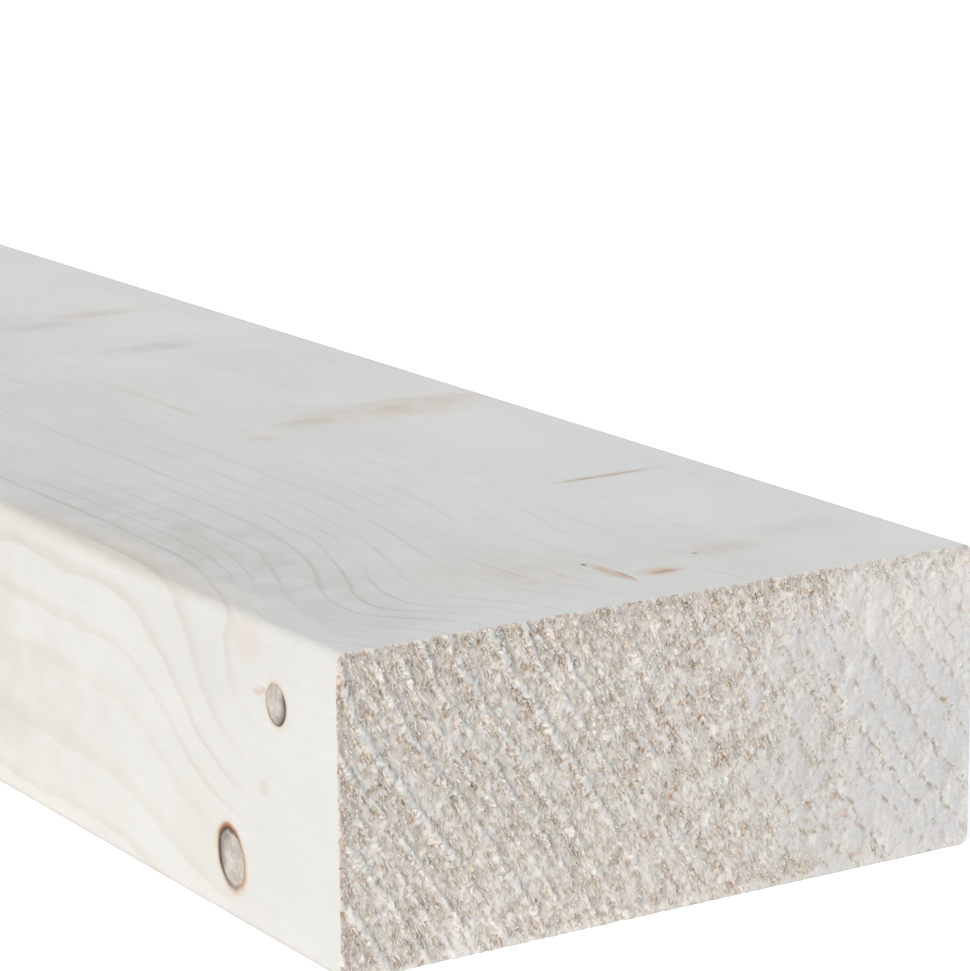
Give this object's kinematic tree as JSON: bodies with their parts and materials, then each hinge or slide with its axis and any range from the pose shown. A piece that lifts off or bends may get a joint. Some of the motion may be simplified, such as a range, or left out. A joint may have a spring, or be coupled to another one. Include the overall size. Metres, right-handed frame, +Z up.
{
  "type": "timber lumber plank",
  "caption": "Straight planed softwood plank of rectangular section with eased long edges and rough square-sawn ends, lying flat on a wide face, for framing and general building.",
  "frame": {"origin": "centre of the lower wide face, halfway along the length, on the surface that the plank lies on", "axes": "+X along the grain towards the sawn end that the picture shows, +Y across the width away from the knotty narrow face that the picture shows, +Z up through the thickness"},
  "size_m": [2.4, 0.089, 0.038],
  "materials": {
    "spruce": "planed, unfinished, with rough sawn ends"
  },
  "bodies": {
    "root": {"plank": "spruce"}
  },
  "joints": []
}
